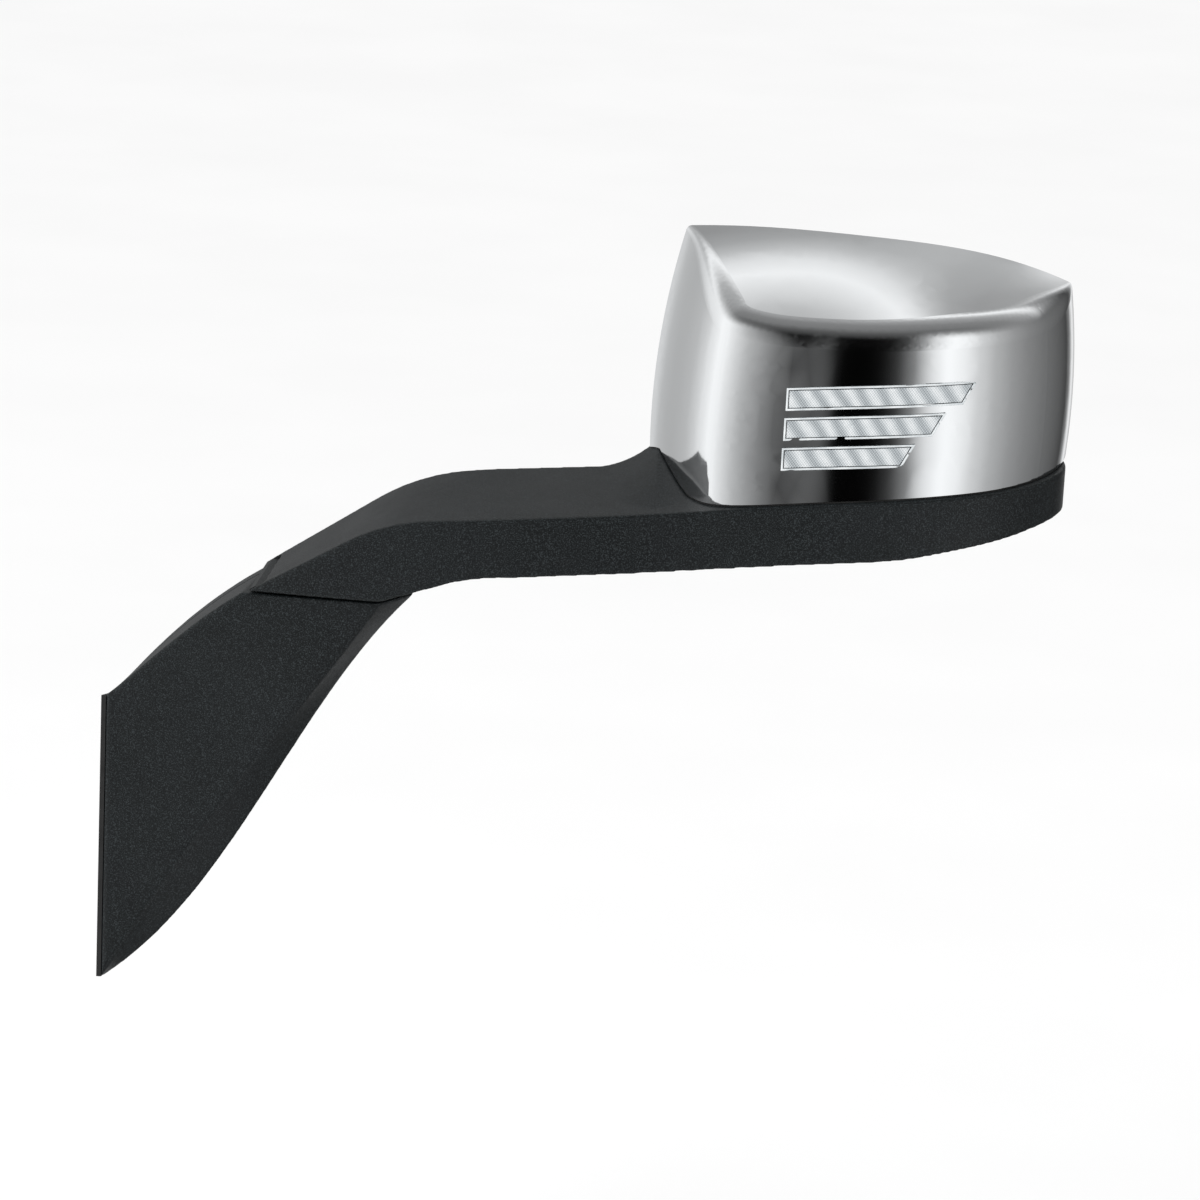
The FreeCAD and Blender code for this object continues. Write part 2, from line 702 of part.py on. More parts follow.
insert_profile = [
    ("thread_r", "0"), ("insert_r", "0"), ("insert_r", "gasket_thick + flange_thick"),
    ("insert_r + 1.5", "gasket_thick + flange_thick"),
    ("insert_r + 1.5", "gasket_thick + flange_thick + 1.5"),
    ("insert_r - 1", "insert_long"), ("thread_r", "insert_long"),
]
inserts = [
    turned(f"insert{number}", insert_profile,
           ("0", f"{across} * bolt_span_y / 2", f"{along} * bolt_span_z / 2"), "x")
    for number, (across, along) in enumerate([(-1, -1), (1, -1), (1, 1), (-1, 1)])
]
insert_set = doc.addObject("Part::Compound", "threaded_inserts")
insert_set.Links = inserts
keep("threaded_inserts", insert_set)

grommet_profile = [
    ("grommet_r - 3", "0"), ("grommet_r", "0"), ("grommet_r", "gasket_thick + flange_thick"),
    ("grommet_r + 2", "gasket_thick + flange_thick"), ("grommet_r + 2", "gasket_thick + flange_thick + 2"),
    ("grommet_r - 3", "gasket_thick + flange_thick + 2"),
]
keep("cable_grommet", turned("cable_grommet", grommet_profile, ("0", "0", str(GROMMET_Z)), "x"))

at_pivot = "pivot_x"
keep("pivot_bush", ring("pivot_bush", "bolt_r + fit", "bolt_r + fit + bush_wall", "boss_tall",
                        (at_pivot, "0", "seam_z - 10 - boss_tall")))
keep("friction_ring_lower", ring("friction_ring_lower", "bolt_r + 2", "clutch_r", "clutch_tall",
                                 (at_pivot, "0", "seam_z - 10")))
keep("seam_seal", turned("seam_seal", [
    ("clutch_r + 3", "0"), ("boss_r", "0"), ("boss_r - 0.5", "9"), ("boss_r - 1.5", "10.2"),
    ("clutch_r + 3.2", "10.2"), ("clutch_r + 3.6", "5"),
], (at_pivot, "0", "seam_z - 10")))
keep("thrust_washer", ring("thrust_washer", "bolt_r + 0.5", "spring_r + 4", "washer_thick",
                           (at_pivot, "0", "seam_z - 10 - boss_tall - washer_thick")))

# --------------------------------------------------------------------------------------------------
# Fold pivot, on the arm's side
# --------------------------------------------------------------------------------------------------
keep("friction_ring_upper", ring("friction_ring_upper", "bolt_r + 2", "clutch_r", "clutch_tall - fit",
                                 (at_pivot, "0", "seam_z - 10 + clutch_tall + fit")))
flange_bottom = boss_top + 2 * size("clutch_tall")
flange_top = flange_bottom + size("core_flange_tall")
spring_top = boss_bottom - size("washer_thick") - 0.1
spring_bottom = spring_top - size("spring_tall")
seat_bottom = spring_bottom - size("seat_thick")
shank = cylinder("bolt_shank", "bolt_r",
                 "8 + boss_tall + washer_thick + spring_tall + seat_thick + nut_tall + 3 + core_flange_tall",
                 (at_pivot, "0", "seam_z - 10 + 2 * clutch_tall + core_flange_tall"), "-z")
head = hexagon("bolt_head", "10.4", "head_tall",
               (at_pivot, "0", "seam_z - 10 + 2 * clutch_tall + core_flange_tall"))
keep("pivot_bolt", fuse("pivot_bolt", [shank, head]))
keep("spring_seat", turned("spring_seat", [
    ("bolt_r + 0.1", "0"), ("spring_r + 3.8", "0"), ("spring_r + 3.8", "seat_thick + 1.5"),
    ("spring_r + 2.8", "seat_thick + 1.5"), ("spring_r + 2.8", "seat_thick"), ("bolt_r + 0.1", "seat_thick"),
], (at_pivot, "0", str(seat_bottom))))
nut = cut("pivot_nut", hexagon("nut_body", "10.4", "nut_tall", (at_pivot, "0", f"{seat_bottom} - nut_tall")),
          cylinder("nut_thread", "bolt_r", "nut_tall", (at_pivot, "0", f"{seat_bottom} - nut_tall")))
keep("pivot_nut", nut)

wire_d = size("spring_wire")
turns = 4
helix = doc.addObject("Part::Helix", "spring_path")
helix.setExpression("Radius", "sizes.spring_r")
helix.setExpression("Height", "sizes.spring_tall - sizes.spring_wire")
helix.setExpression("Pitch", f"(sizes.spring_tall - sizes.spring_wire) / {turns}")
wire_section = doc.addObject("Part::Circle", "spring_section")
wire_section.setExpression("Radius", "sizes.spring_wire / 2")
wire_section.Placement = Placement(Vector(size("spring_r"), 0, 0), Rotation(Vector(1, 0, 0), 90))
wire_section.setExpression("Placement.Base.x", "sizes.spring_r")
spring = doc.addObject("Part::Sweep", "breakaway_spring")
spring.Sections = [wire_section]
spring.Spine = (helix, ["Edge1"])
spring.Solid = True
spring.Frenet = True
place(spring, (at_pivot, "0", f"{spring_bottom} + spring_wire / 2"))
keep("breakaway_spring", spring)

# --------------------------------------------------------------------------------------------------
# Arm
# --------------------------------------------------------------------------------------------------
doc.recompute()
arm_outer = arm_block(0).fuse(saddle()).removeSplitter()
arm_inner = arm_block(wall)


def under_rim(rise):
    """Everything below a line that follows the arm's bottom face at a height above it."""
    run_x = size("elbow_x") + size("arm_tall") * 1.21
    run_z = size("elbow_z") + arm_slope * (run_x - size("elbow_x")) - size("arm_tall") + rise
    tail_x = head_x + 0.6 * head_wide
    tail_z = run_z + arm_slope * (tail_x - run_x)
    start_x = run_x - (run_z - arm_bottom - rise) / 0.348
    corners = [
        (0, 0), (0, arm_bottom + rise), (start_x, arm_bottom + rise), (run_x, run_z), (tail_x, tail_z),
        (FAR, tail_z + (arm_slope + 0.12) * (FAR - tail_x)), (FAR, 0),
    ]
    return prism(corners, "XZ", -200, 200)


arm_shell = arm_outer.cut(arm_inner)
flange_hole = rod(size("core_flange_r") + 3, Vector(pivot_x, 0, boss_top),
                  Vector(pivot_x, 0, arm_bottom + wall))

HEAD_BOLTS = [(head_x + 55, -6), (head_x + 95, -6), (head_x + 135, -6)]
HEAD_BOLT_R, HEAD_POST_R = 3, 8
# Screws that hold the lower cover, as (x, y); their bosses reach down from the upper cover.
ARM_SCREWS = [
    (pivot_x + 74, 34), (pivot_x + 80, -34), (pivot_x + 160, 38), (pivot_x + 160, -38),
    (head_x + 90, 36), (head_x + 90, -32), (head_x + 200, 32),
]


def low_face(x):
    """Height of the arm's bottom face at a distance out from the hood, outboard of the elbow."""
    run_x = size("elbow_x") + size("arm_tall") * 1.21
    rise = arm_slope * (x - size("elbow_x")) - size("arm_tall")
    tail_x = head_x + 0.6 * head_wide
    ramp = (x - run_x) * (0.348 - arm_slope) if x < run_x else 0
    return size("elbow_z") + rise + max(x - tail_x, 0) * 0.12 + ramp


lower = arm_outer.common(arm_plan(wall + size("cover_gap"), 0, 400)).common(under_rim(wall)).cut(flange_hole)
upper = arm_shell.cut(arm_plan(wall, 0, 400).common(under_rim(wall + 2.5)))
bosses = []
for x, y in ARM_SCREWS:
    bosses.append(rod(SCREW_BOSS_R, Vector(x, y, low_face(x) + 9), Vector(x, y, FAR)))
upper = upper.fuse(Part.makeCompound(bosses).common(arm_outer))
for x, y in ARM_SCREWS:
    at = low_face(x)
    upper = upper.cut(rod(SCREW_R, Vector(x, y, at), Vector(x, y, at + 19)))
    lower = lower.fuse(rod(SCREW_BOSS_R, Vector(x, y, at + 0.6), Vector(x, y, at + 8.4)).common(arm_outer))
    lower = lower.cut(rod(SCREW_R + hole_clearance, Vector(x, y, at - 9), Vector(x, y, at + 19)))
    lower = lower.cut(rod(SCREW_HEAD_R + 0.4, Vector(x, y, at - 9), Vector(x, y, at + 5)))
for x, y in HEAD_BOLTS:
    upper = upper.cut(rod(HEAD_POST_R + 0.5, Vector(x, y, low_face(x) + 20), Vector(x, y, FAR)))
keep("arm_cover_upper", solid("arm_cover_upper", max(upper.Solids, key=lambda item: item.Volume)))
keep("arm_cover_lower", solid("arm_cover_lower", max(lower.Solids, key=lambda item: item.Volume)))

screws = []
for number, (x, y) in enumerate(ARM_SCREWS):
    at = low_face(x) + 5
    shank = cylinder(f"arm_screw_shank{number}", str(SCREW_R - 0.1), "13", (str(x), str(y), str(at)))
    head = cylinder(f"arm_screw_head{number}", str(SCREW_HEAD_R), "2.6", (str(x), str(y), str(at)), "-z")
    screws.append(fuse(f"arm_screw{number}", [shank, head]))
screw_set = doc.addObject("Part::Compound", "arm_cover_screws")
screw_set.Links = screws
keep("arm_cover_screws", screw_set)


def beam_line(x):
    """Height of the beam's lower face above the origin, outboard of the elbow."""
    return low_face(x) + wall + 6


BEAM_BEND = size("elbow_x") + size("arm_tall") * 1.21
BEAM_END = head_x + 0.9 * head_wide
beam_tall = size("beam_tall")
tail_x = head_x + 0.6 * head_wide
beam_profile = [
    (pivot_x + 10, flange_bottom + 6), (pivot_x + 40, flange_bottom + 9), (BEAM_BEND, beam_line(BEAM_BEND)),
    (tail_x, beam_line(tail_x)), (BEAM_END, beam_line(BEAM_END)),
    (BEAM_END, beam_line(tail_x) + beam_tall + arm_slope * (BEAM_END - tail_x) - 3),
    (BEAM_BEND, beam_line(BEAM_BEND) + beam_tall), (size("elbow_x") + 4, size("elbow_z") - 14),
    (pivot_x + 14, flange_top + 6), (pivot_x + 14, flange_top),
]
half_beam = size("beam_wide") / 2
core = prism(beam_profile, "XZ", -half_beam, half_beam)
core = core.fuse(rod(size("core_flange_r"), Vector(pivot_x, 0, flange_bottom),
                     Vector(pivot_x, 0, flange_top)))
core = core.cut(rod(bolt_r, Vector(pivot_x, 0, 0), Vector(pivot_x, 0, FAR)))
core = core.cut(rod(11.6, Vector(pivot_x, 0, flange_top), Vector(pivot_x, 0, FAR)))
for x, y in HEAD_BOLTS:
    core = core.cut(rod(HEAD_BOLT_R + hole_clearance, Vector(x, y, 0), Vector(x, y, FAR)))
    core = core.cut(rod(7, Vector(x, y, 0), Vector(x, y, beam_line(x) + 4)))
keep("arm_core", solid("arm_core", core.removeSplitter()))


# --------------------------------------------------------------------------------------------------
# Head: cap, frame and bezel
# --------------------------------------------------------------------------------------------------
cap_wall = size("cap_wall")
gap = size("cap_gap")
cap_outer = cap_solid(0, "cap_outer")
cap_inner = cap_solid(cap_wall, "cap_inner")
tray_cut = arm_sides(0, gap).fuse(saddle(gap))


def bar_outline(number, grow=0):
    """Outline of one light bar, as (x, z); number 0 is the upper, longest one."""
    long = size("bar_long") - number * size("bar_step")
    left, top = size("bar_x") - 0.4 * number, size("bar_top") - number * size("bar_pitch")
    tall, slope = size("bar_tall"), size("bar_slope")
    corners = [
        (left, top), (left, top - tall),
        (left + long - 0.55 * tall, top - tall + slope * (long - 0.55 * tall)),
        (left + long, top + slope * long),
    ]
    return inset_polygon(corners, -grow) if grow else corners


def bars(grow, inner, outer):
    """The three light bars between two offsets behind the cap's outer face, as separate solids."""
    outer_solid = cap_offset(outer)
    inner_solid = cap_offset(inner)
    pieces = []
    for number in range(3):
        column = prism(bar_outline(number, grow), "XZ", rim_y - head_deep - 8, rim_y - head_deep + 45)
        pieces.append(column.common(outer_solid).cut(inner_solid))
    return pieces


offset_solids = {}


def cap_offset(inset):
    """Column of the cap's plan drawn in by an inset; the light bars and their housing follow it."""
    if inset not in offset_solids:
        wires = []
        for height, left, right in CAP_LEVELS:
            plan = [Vector(x, y, height) for x, y in cap_plan(inset, left, right)]
            plan[0].y = rim_y
            plan[-1].y = rim_y
            wires.append(Part.Wire([spline(plan).toShape(), Part.LineSegment(plan[-1], plan[0]).toShape()]))
        offset_solids[inset] = Part.makeLoft(wires, True, False)
    return offset_solids[inset]


cap = cap_outer.cut(cap_inner).cut(tray_cut)
window_gap = 0.35
for window in bars(window_gap, cap_wall + 2, -1):
    cap = cap.cut(window)
# Bosses that the rear bezel is screwed to, as (x, z) near the corners of the rear opening.
BEZEL_SCREWS = [
    (head_x + 28, size("rim_z") - 17), (head_x + head_wide - 16, size("rim_z") - 37),
    (head_x + 11.5, size("rim_z") - 121), (head_x + head_wide - 10, size("rim_z") - 117),
]
boss_end = rim_y - size("bezel_thick") - 1
bosses = [rod(SCREW_BOSS_R, Vector(x, boss_end - 12, z), Vector(x, boss_end, z)) for x, z in BEZEL_SCREWS]
cap = cap.fuse(Part.makeCompound(bosses).common(cap_outer))
for x, z in BEZEL_SCREWS:
    cap = cap.cut(rod(SCREW_R, Vector(x, boss_end - 10, z), Vector(x, boss_end, z)))
keep("chrome_cap", solid("chrome_cap", max(cap.Solids, key=lambda item: item.Volume)))

seal = cap_offset(0.4).cut(cap_offset(2.4)).common(arm_block(0, gap - 0.05).fuse(saddle(gap - 0.05)))
seal = seal.cut(arm_outer)
keep("cap_seal", solid("cap_seal", max(seal.Solids, key=lambda item: item.Volume)))


def rim_corners():
    """Corners of the rear opening as (x, z, radius), from its lower inboard corner upwards."""
    left, right, top = head_x, head_x + head_wide, size("rim_z")
    drop = size("rim_drop")
    saddle_top = rear_top(left) + 66 * arm_slope + size("saddle_tall") - 3
    return [
        (left + 0.5, saddle_top + 1.4, 4),
        (left + 3, 0.5 * (top + saddle_top), 300),
        (left + 17, top, 4),
        (left + 0.34 * head_wide, top + 1.2, 260),
        (left + 0.7 * head_wide, top - 0.3 * drop, 300),
        (right - 4.2, top - drop - 0.5, 4),
        (right + 2.2, 0.5 * (top + rear_top(right)) - 8, 200),
        (right - 1.5, rear_top(right) + gap + 0.5, 5),
        (left + 42, rear_top(left + 42) + gap + 0.5, 30),
    ]


def rim_slice(inset, start, end, corner_r=0):
    """The rear opening's outline drawn in by an inset, extruded between two planes."""
    corners = rim_corners()
    moved = inset_polygon([(x, z) for x, z, radius in corners], inset)
    edges = []
    ends = []
    for i, (x, z) in enumerate(moved):
        corner = Vector(x, start, z)
        before = Vector(moved[i - 1][0], start, moved[i - 1][1])
        after = Vector(moved[(i + 1) % len(moved)][0], start, moved[(i + 1) % len(moved)][1])
        back, ahead = (before - corner).normalize(), (after - corner).normalize()
        half = back.getAngle(ahead) / 2
        radius = max(corners[i][2] - inset, corner_r, 1)
        first = corner + back * (radius / math.tan(half))
        last = corner + ahead * (radius / math.tan(half))
        middle = corner + (back + ahead).normalize() * (radius / math.sin(half) - radius)
        edges.append(Part.Arc(first, middle, last).toShape())
        ends.append((first, last))
    for (_, last), (first, _) in zip(ends, ends[1:] + ends[:1]):
        edges.append(Part.LineSegment(last, first).toShape())
    outline = Part.Face(Part.Wire(Part.__sortEdges__(edges)))
    return outline.extrude(Vector(0, end - start, 0))


bezel_thick, bezel_wide = size("bezel_thick"), size("bezel_wide")
bezel_front = rim_y - bezel_thick
bezel_fit = cap_wall + 0.3
bezel_outer = rim_slice(bezel_fit, bezel_front, rim_y - 0.6, 2)
bezel_outer = bezel_outer.common(cap_offset(bezel_fit)).common(cap_top(bezel_fit))
bezel_hole = rim_slice(cap_wall + bezel_wide, bezel_front - 1, rim_y + 1, 8)
bezel = bezel_outer.cut(bezel_hole)
hollow = rim_slice(cap_wall + 2.5, bezel_front - 1, rim_y - 3, 2).cut(
    rim_slice(cap_wall + bezel_wide - 2.2, bezel_front - 2, rim_y, 9))
bezel = bezel.cut(hollow)
for x, z in BEZEL_SCREWS:
    post = rod(SCREW_BOSS_R, Vector(x, boss_end + 0.1, z), Vector(x, rim_y - 2, z)).common(bezel_outer)
    bezel = bezel.fuse(post)
for x, z in BEZEL_SCREWS:
    bezel = bezel.cut(rod(SCREW_R + hole_clearance, Vector(x, boss_end - 1, z), Vector(x, rim_y, z)))
    bezel = bezel.cut(rod(SCREW_HEAD_R + 0.3, Vector(x, rim_y - 3.6, z), Vector(x, rim_y + 1, z)))
keep("rear_bezel", solid("rear_bezel", max(bezel.Solids, key=lambda item: item.Volume)))

screws = []
for number, (x, z) in enumerate(BEZEL_SCREWS):
    seat = (str(x), "rim_y - 3.6", str(z))
    shank = cylinder(f"bezel_screw_shank{number}", str(SCREW_R - 0.1), "11", seat, "-y")
    head = cylinder(f"bezel_screw_head{number}", str(SCREW_HEAD_R - 0.2), "2.2", seat, "y")
    screws.append(fuse(f"bezel_screw{number}", [shank, head]))
screw_set = doc.addObject("Part::Compound", "bezel_screws")
screw_set.Links = screws
keep("bezel_screws", screw_set)

# --- frame inside the head ---------------------------------------------------------------------------
cross_x = head_x + 0.5 * head_wide
cross_y = size("cross_y")
cross_z = size("rim_z") - 85
FRAME_Y = 3
frame_wall = 5


def tray_height(x, lift=0):
    """Height that clears the tray's top face everywhere at a distance out from the hood."""
    return rear_top(x) + lift


floor_end = head_x + 150
floor_low = tray_height(floor_end, 3)
floor_plate = block((head_x + 40, -16, floor_low), (floor_end, 20, floor_low + frame_wall))
back_plate = block((cross_x - 62, FRAME_Y, floor_low), (cross_x + 30, FRAME_Y + frame_wall, cross_z + 32))
frame = floor_plate.fuse(back_plate)
for x in (cross_x - 58, floor_end - 6):
    gusset = [(FRAME_Y + 1, floor_low + 1), (19, floor_low + 1), (19, floor_low + 6),
              (FRAME_Y + 1, floor_low + 36)]
    frame = frame.fuse(prism(gusset, "YZ", x, x + 4))
for x, y in HEAD_BOLTS:
    post = rod(HEAD_POST_R, Vector(x, y, beam_line(x) + 5), Vector(x, y, floor_low + 1))
    frame = frame.fuse(post.cut(core))
housing_back = cap_wall + 1.9 + size("lamp_deep")
standoff_front = rim_y - head_deep + housing_back
window = block((cross_x - 30, FRAME_Y - 1, floor_low + 14),
               (cross_x + 30, FRAME_Y + frame_wall + 1, cross_z - 26))
frame = frame.cut(window)
for x, y in HEAD_BOLTS:
    bolt_hole = rod(HEAD_BOLT_R + hole_clearance, Vector(x, y, 0), Vector(x, y, floor_low + 2 * frame_wall))
    frame = frame.cut(bolt_hole)

# --- light bars --------------------------------------------------------------------------------------
LENS_GRIP = 2


def between_bars(along):
    """A point (x, z) midway between the upper and the middle bar."""
    middle = size("bar_top") - 0.5 * (size("bar_tall") + size("bar_pitch"))
    return size("bar_x") + along, middle + size("bar_slope") * along


STANDOFFS = [between_bars(12), between_bars(74)]
lens_back = cap_wall + 2.1
housing_face = lens_back + 0.1
housing_room = prism([
    (size("bar_x") - 10, size("bar_top") + 4), (size("bar_x") - 10, size("bar_top") - 58),
    (size("bar_x") + 92, size("bar_top") - 50), (size("bar_x") + 124, size("bar_top") + 14),
], "XZ", rim_y - head_deep, FRAME_Y - 2)
housing = cap_offset(housing_face).cut(cap_offset(housing_back)).common(housing_room)
for pocket in bars(1, housing_back - 2, 0):
    housing = housing.cut(pocket)
for x, z in STANDOFFS:
    housing = housing.cut(rod(SCREW_R - 0.2, Vector(x, standoff_front - 7, z), Vector(x, 0, z)))
keep("lamp_housing", solid("lamp_housing", max(housing.Solids, key=lambda item: item.Volume)))

fronts = bars(0, cap_wall + 0.9, -0.7)
grips = bars(LENS_GRIP, lens_back, cap_wall + 0.8)
for label, front, grip in zip(("lamp_lens_upper", "lamp_lens_middle", "lamp_lens_lower"), fronts, grips):
    keep(label, solid(label, front.fuse(grip).removeSplitter()))
rings = []
for outer, inner in zip(bars(LENS_GRIP - 0.2, cap_wall + 0.75, cap_wall + 0.1),
                        bars(0.4, cap_wall + 2, cap_wall - 1)):
    rings.extend(outer.cut(inner).Solids)
keep("lamp_seals", solid("lamp_seals", Part.makeCompound(rings)))
board_depth = cap_wall + 12
boards = bars(0.6, board_depth + 1.4, board_depth)
keep("lamp_boards", solid("lamp_boards", Part.makeCompound(boards)))

LED_PITCH, LED_SIDE, LED_TALL = 13.2, 4.6, 1.6
leds = []
for number, count in enumerate((8, 7, 6)):
    along = prism(bar_outline(number, 0.4), "XZ", rim_y - head_deep, FRAME_Y)
    row = along.common(cap_offset(board_depth - LED_TALL)).cut(cap_offset(board_depth))
    for step in range(count):
        x = size("bar_x") + 6 + step * LED_PITCH
        bar_line = size("bar_top") - number * size("bar_pitch") - size("bar_tall") / 2
        z = bar_line + size("bar_slope") * (x - size("bar_x"))
        cell = block((x, -200, z - LED_SIDE / 2), (x + LED_SIDE, rim_y, z + LED_SIDE / 2))
        leds.append(row.common(cell))
keep("lamp_leds", solid("lamp_leds", Part.makeCompound(leds)))

screws = []
for number, (x, z) in enumerate(STANDOFFS):
    seat = (str(x), str(FRAME_Y + frame_wall), str(z))
    reach = FRAME_Y + frame_wall - standoff_front + 6
    shank = cylinder(f"lamp_screw_shank{number}", str(SCREW_R - 0.2), str(reach), seat, "-y")
    head = cylinder(f"lamp_screw_head{number}", str(SCREW_HEAD_R), "2.4", seat, "y")
    screws.append(fuse(f"lamp_screw{number}", [shank, head]))
screw_set = doc.addObject("Part::Compound", "lamp_screws")
screw_set.Links = screws
keep("lamp_screws", screw_set)

# --- mirror glass on its cross -----------------------------------------------------------------------
pin_r = size("cross_pin_r")
HUB, PIN_REACH, LUG, LUG_START = 7, 17, 4.8, 11.4
centre = Vector(cross_x, cross_y, cross_z)
hub = block((cross_x - HUB, cross_y - HUB, cross_z - HUB), (cross_x + HUB, cross_y + HUB, cross_z + HUB))
hub = hub.makeChamfer(1.5, hub.Edges)
cross = hub
for axis in (Vector(0, 0, 1), Vector(1, 0, 0)):
    cross = cross.fuse(rod(pin_r, centre - axis * PIN_REACH, centre + axis * PIN_REACH))
keep("pivot_cross", solid("pivot_cross", cross))

washers = []
for number, along in enumerate(("z", "-z", "x", "-x")):
    starts = {"z": (0, 0, HUB + 0.1), "-z": (0, 0, -HUB - 0.1),
              "x": (HUB + 0.1, 0, 0), "-x": (-HUB - 0.1, 0, 0)}
    start = starts[along]
    at = tuple(str(a + b) for a, b in zip((cross_x, cross_y, cross_z), start))
    washers.append(ring(f"cross_washer{number}", "cross_pin_r + fit", "cross_pin_r + 3.2", "4", at, along))
washer_set = doc.addObject("Part::Compound", "cross_washers")
washer_set.Links = washers
keep("cross_washers", washer_set)

# Two lugs of the frame hold the upright pin.
for side in (-1, 1):
    z = cross_z + side * (LUG_START + LUG / 2)
    lug = block((cross_x - 7, FRAME_Y + 1, z - LUG / 2), (cross_x + 7, cross_y + 6, z + LUG / 2))
    frame = frame.fuse(lug)
frame = frame.cut(rod(pin_r + fit, centre - Vector(0, 0, 22), centre + Vector(0, 0, 22)))
for x, z in STANDOFFS:
    frame = frame.fuse(rod(4.5, Vector(x, standoff_front - 1, z), Vector(x, FRAME_Y + 1, z)).cut(housing))
    frame = frame.cut(rod(SCREW_R + hole_clearance, Vector(x, -FAR, z), Vector(x, FRAME_Y + frame_wall, z)))
keep("head_frame", solid("head_frame", frame.removeSplitter()))

bolts = []
for number, (x, y) in enumerate(HEAD_BOLTS):
    seat = beam_line(x) + 4
    shank = cylinder(f"head_bolt_shank{number}", str(HEAD_BOLT_R), str(floor_low + frame_wall - seat + 6),
                     (str(x), str(y), str(seat)))
    head = hexagon(f"head_bolt_head{number}", "5.8", "4", (str(x), str(y), str(seat)), "-z")
    nut_body = hexagon(f"head_bolt_nut{number}", "5.8", "5", (str(x), str(y), str(floor_low + frame_wall)))
    bolts.append(fuse(f"head_bolt{number}", [shank, head, nut_body]))
bolt_set = doc.addObject("Part::Compound", "head_bolts")
bolt_set.Links = bolts
keep("head_bolts", bolt_set)

glass_radius, glass_thick = size("glass_radius"), size("glass_thick")
heater, holder_thick = size("heater_thick"), size("holder_thick")
glass_middle = Vector(cross_x, size("glass_apex") - glass_radius, size("rim_z") - 77)


def dome(depth, thick, inset, corner_r):
    """A shell of the mirror's curve: depth behind its face, thickness, margin in from the rim."""
    outer = Part.makeSphere(glass_radius - depth, glass_middle)
    inner = Part.makeSphere(glass_radius - depth - thick, glass_middle)
    column = rim_slice(inset, rim_y - 40, rim_y + 10, corner_r)
    return column.common(outer).cut(inner)


glass_inset = size("glass_inset")
glass = dome(0, glass_thick, glass_inset, 10)
keep("mirror_glass", solid("mirror_glass", glass))
keep("heater_pad", solid("heater_pad", dome(glass_thick, heater, glass_inset + 3, 8)))
back_depth = glass_thick + heater
holder = dome(back_depth, holder_thick, glass_inset - 1.2, 11)
lip = dome(glass_thick - 0.6, heater + 0.6 + 0.5, glass_inset - 1.2, 11).cut(
    rim_slice(glass_inset - 0.2, 0, rim_y + 10, 10))
bed_hollow = rim_slice(glass_inset + 2.8, 0, rim_y + 10, 8)
bed = dome(glass_thick, heater + 0.5, glass_inset + 0.1, 10).cut(bed_hollow)
holder = holder.fuse(lip).fuse(bed)
for side in (-1, 1):
    x = cross_x + side * (LUG_START + LUG / 2)
    lug = block((x - LUG / 2, cross_y - 6, cross_z - 7), (x + LUG / 2, rim_y, cross_z + 7))
    inside = Part.makeSphere(glass_radius - back_depth - 1, glass_middle)
    holder = holder.fuse(lug.common(inside))
rib_bar = block((cross_x - 70, 28, cross_z - 2), (cross_x + 70, rim_y, cross_z + 2)).common(inside)
rib_bar = rib_bar.cut(block((cross_x - 16, 0, cross_z - 12), (cross_x + 16, 33, cross_z + 12)))
holder = holder.fuse(rib_bar)
holder = holder.cut(rod(pin_r + fit, centre - Vector(22, 0, 0), centre + Vector(22, 0, 0)))
keep("glass_holder", solid("glass_holder", holder.removeSplitter()))

tabs = []
for number, side in enumerate((-1, 1)):
    tabs.append(box(f"terminal{number}", "6", "9", "1.2",
                    (f"{cross_x} + {side} * 40 - 3", "26", f"{cross_z} - 26")))
tab_set = doc.addObject("Part::Compound", "heater_terminals_blank")
tab_set.Links = tabs
doc.recompute()
keep("heater_terminals", solid("heater_terminals", tab_set.Shape.cut(holder)))

# --------------------------------------------------------------------------------------------------
# Checks and export
# --------------------------------------------------------------------------------------------------
doc.recompute()
for item in doc.Objects:
    if "Invalid" in item.State or "Error" in item.State:
        raise RuntimeError(f"{item.Label} failed to compute: {item.State}")
for label, item in nodes.items():
    if item.Shape.isNull() or not item.Shape.isValid() or not item.Shape.Solids:
        raise RuntimeError(f"{label} has no valid solid")

os.makedirs("parts", exist_ok=True)
for label, item in nodes.items():
    item.Shape.exportStep(f"parts/{label}.step")
print(len(nodes), "sub-parts written")
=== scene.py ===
"""Looks of a truck hood mirror: grained black arm and foot, chromed head, three clear light bars."""
import json
import math

import bmesh
import bpy
import numpy as np
from mathutils import Matrix, Vector

